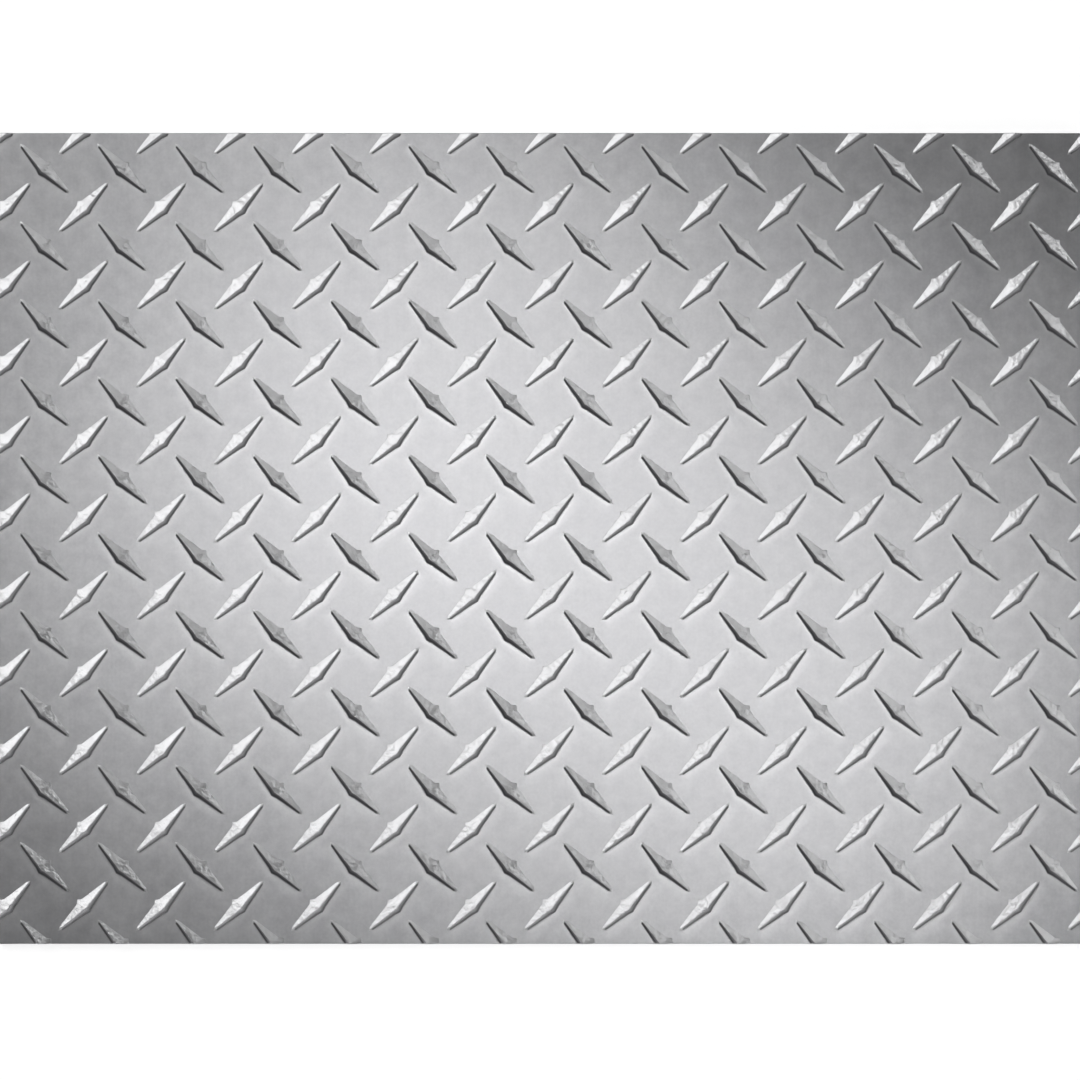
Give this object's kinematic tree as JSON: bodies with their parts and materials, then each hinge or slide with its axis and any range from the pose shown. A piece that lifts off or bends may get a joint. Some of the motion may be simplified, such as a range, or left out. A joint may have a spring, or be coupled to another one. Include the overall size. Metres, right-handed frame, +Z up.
{
  "type": "stainless steel tread sheet",
  "caption": "Flat rectangle of rolled stainless steel sheet with raised diamond lugs in alternating diagonal directions, a plain back and sheared edges; cut stock for floors and panels.",
  "frame": {"origin": "middle of the flat back, which lies on the floor", "axes": "+X along the sheet's length, +Y along its width and the way it was rolled, +Z up through the lugs"},
  "size_m": [0.4, 0.3, 0.0045],
  "materials": {
    "stainless_steel": "hot rolled and pickled, satin, slightly cloudy"
  },
  "bodies": {
    "root": {"tread_sheet": "stainless_steel"}
  },
  "joints": []
}
